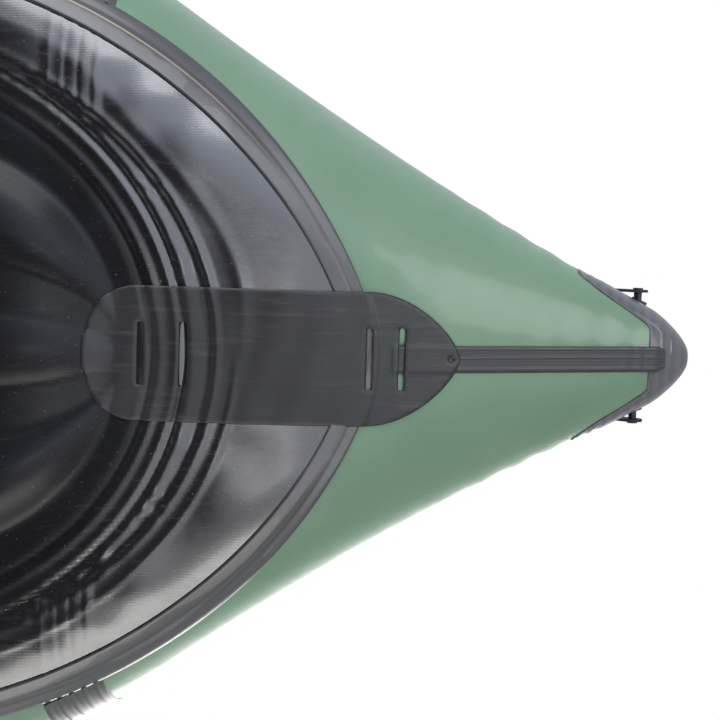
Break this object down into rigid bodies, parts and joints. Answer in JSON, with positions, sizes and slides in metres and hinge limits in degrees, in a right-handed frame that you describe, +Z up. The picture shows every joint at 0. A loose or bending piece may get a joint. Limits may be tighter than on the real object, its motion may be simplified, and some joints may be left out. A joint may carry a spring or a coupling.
{
  "type": "inflatable kayak",
  "caption": "Inflatable open kayak with twin side tubes, ribbed floor chamber, glossy bottom skin, slotted skeg patch, spray decks, folding seats and carry handles.",
  "frame": {"origin": "middle of the hull in plan, at the lowest point of the bottom skin", "axes": "+X towards the bow, +Y to port, +Z up as it floats"},
  "size_m": [3.6, 0.844, 0.4992],
  "materials": {
    "tube_fabric": "coated fabric, semi-gloss green",
    "floor_fabric": "coated fabric, glossy black",
    "skin_fabric": "glossy black rubber-coated fabric",
    "patch_plastic": "semi-gloss black rubber-coated patch",
    "webbing": "woven polyester webbing",
    "grip_foam": "matt foam grip",
    "seat_fabric": "woven polyester over foam",
    "steel": "stainless wire",
    "valve_plastic": "moulded black nylon",
    "plunger_plastic": "moulded pale acetal"
  },
  "bodies": {
    "hull": {"side_tube_port": "tube_fabric", "side_tube_starboard": "tube_fabric", "floor_section_stern": "floor_fabric", "floor_section_aft": "floor_fabric", "floor_section_middle": "floor_fabric", "floor_section_fore": "floor_fabric", "floor_section_bow": "floor_fabric", "bottom_skin": "skin_fabric", "skin_edge_tape": "skin_fabric", "skeg_patch": "patch_plastic", "keel_strip_stern": "skin_fabric", "keel_strip_bow": "skin_fabric", "stern_cap": "patch_plastic", "bow_cap": "patch_plastic", "tube_joint_tapes": "tube_fabric", "stern_deck": "tube_fabric", "bow_deck": "tube_fabric", "handle_anchors": "webbing", "seat_cushion_front": "seat_fabric", "seat_cushion_rear": "seat_fabric", "seat_straps_front": "webbing", "seat_straps_rear": "webbing", "footrest_front": "seat_fabric", "footrest_rear": "seat_fabric", "d_ring_patches": "tube_fabric", "d_ring_1_port": "steel", "d_ring_2_port": "steel", "d_ring_1_starboard": "steel", "d_ring_2_starboard": "steel", "valve_body_port": "valve_plastic", "valve_body_starboard": "valve_plastic", "valve_body_floor": "valve_plastic", "valve_hinge_pins": "steel", "valve_spring_port": "steel", "valve_spring_starboard": "steel", "valve_spring_floor": "steel"},
    "stern_handle": {"stern_handle_strap": "webbing", "stern_handle_grip": "grip_foam"},
    "bow_handle": {"bow_handle_strap": "webbing", "bow_handle_grip": "grip_foam"},
    "backrest_front": {"backrest_front": "seat_fabric"},
    "backrest_rear": {"backrest_rear": "seat_fabric"},
    "d_ring_3_port": {"d_ring_3_port": "steel"},
    "d_ring_3_starboard": {"d_ring_3_starboard": "steel"},
    "d_ring_4_port": {"d_ring_4_port": "steel"},
    "d_ring_4_starboard": {"d_ring_4_starboard": "steel"},
    "valve_cap_port": {"valve_cap_port": "valve_plastic"},
    "valve_plunger_port": {"valve_plunger_port": "plunger_plastic"},
    "valve_cap_starboard": {"valve_cap_starboard": "valve_plastic"},
    "valve_plunger_starboard": {"valve_plunger_starboard": "plunger_plastic"},
    "valve_cap_floor": {"valve_cap_floor": "valve_plastic"},
    "valve_plunger_floor": {"valve_plunger_floor": "plunger_plastic"}
  },
  "joints": [
    {"name": "stern_handle_swing", "type": "hinge", "parent": "hull", "child": "stern_handle", "pos_m": [-1.748, 0, 0.27588], "axis": [0, -1, 0], "range_deg": [0, 165]},
    {"name": "bow_handle_swing", "type": "hinge", "parent": "hull", "child": "bow_handle", "pos_m": [1.748, 0, 0.27588], "axis": [0, 1, 0], "range_deg": [0, 165]},
    {"name": "front_backrest_fold", "type": "hinge", "parent": "hull", "child": "backrest_front", "pos_m": [0.1545, 0, 0.17053], "axis": [0, 1, 0], "range_deg": [-8, 100]},
    {"name": "rear_backrest_fold", "type": "hinge", "parent": "hull", "child": "backrest_rear", "pos_m": [-0.8455, 0, 0.17641], "axis": [0, 1, 0], "range_deg": [-8, 100]},
    {"name": "d_ring_3_port_swing", "type": "hinge", "parent": "hull", "child": "d_ring_3_port", "pos_m": [0.87523, 0.2391, 0.25457], "axis": [-0.0219, 0.866, 0.4995], "range_deg": [0, 180]},
    {"name": "d_ring_3_starboard_swing", "type": "hinge", "parent": "hull", "child": "d_ring_3_starboard", "pos_m": [0.87523, -0.2391, 0.25457], "axis": [0.0219, 0.866, -0.4995], "range_deg": [0, 180]},
    {"name": "d_ring_4_port_swing", "type": "hinge", "parent": "hull", "child": "d_ring_4_port", "pos_m": [-0.89494, 0.2391, 0.25546], "axis": [0.0232, 0.866, 0.4995], "range_deg": [0, 180]},
    {"name": "d_ring_4_starboard_swing", "type": "hinge", "parent": "hull", "child": "d_ring_4_starboard", "pos_m": [-0.89494, -0.2391, 0.25546], "axis": [-0.0232, 0.866, -0.4995], "range_deg": [0, 180]},
    {"name": "valve_cap_port_lift", "type": "hinge", "parent": "hull", "child": "valve_cap_port", "pos_m": [-0.57926, 0.302, 0.26568], "axis": [0, -1, 0], "range_deg": [0, 150]},
    {"name": "valve_plunger_port_press", "type": "slide", "parent": "hull", "child": "valve_plunger_port", "axis": [-0.0135, 0, -0.9999], "range_m": [0, 0.004], "stiffness_N_per_m": 800, "springref_m": -0.002},
    {"name": "valve_cap_starboard_lift", "type": "hinge", "parent": "hull", "child": "valve_cap_starboard", "pos_m": [-0.57926, -0.302, 0.26568], "axis": [0, -1, 0], "range_deg": [0, 150]},
    {"name": "valve_plunger_starboard_press", "type": "slide", "parent": "hull", "child": "valve_plunger_starboard", "axis": [-0.0135, 0, -0.9999], "range_m": [0, 0.004], "stiffness_N_per_m": 800, "springref_m": -0.002},
    {"name": "valve_cap_floor_lift", "type": "hinge", "parent": "hull", "child": "valve_cap_floor", "pos_m": [-1.021, 0, 0.123], "axis": [0, -1, 0], "range_deg": [0, 150]},
    {"name": "valve_plunger_floor_press", "type": "slide", "parent": "hull", "child": "valve_plunger_floor", "axis": [0, 0, -1], "range_m": [0, 0.004], "stiffness_N_per_m": 800, "springref_m": -0.002}
  ]
}
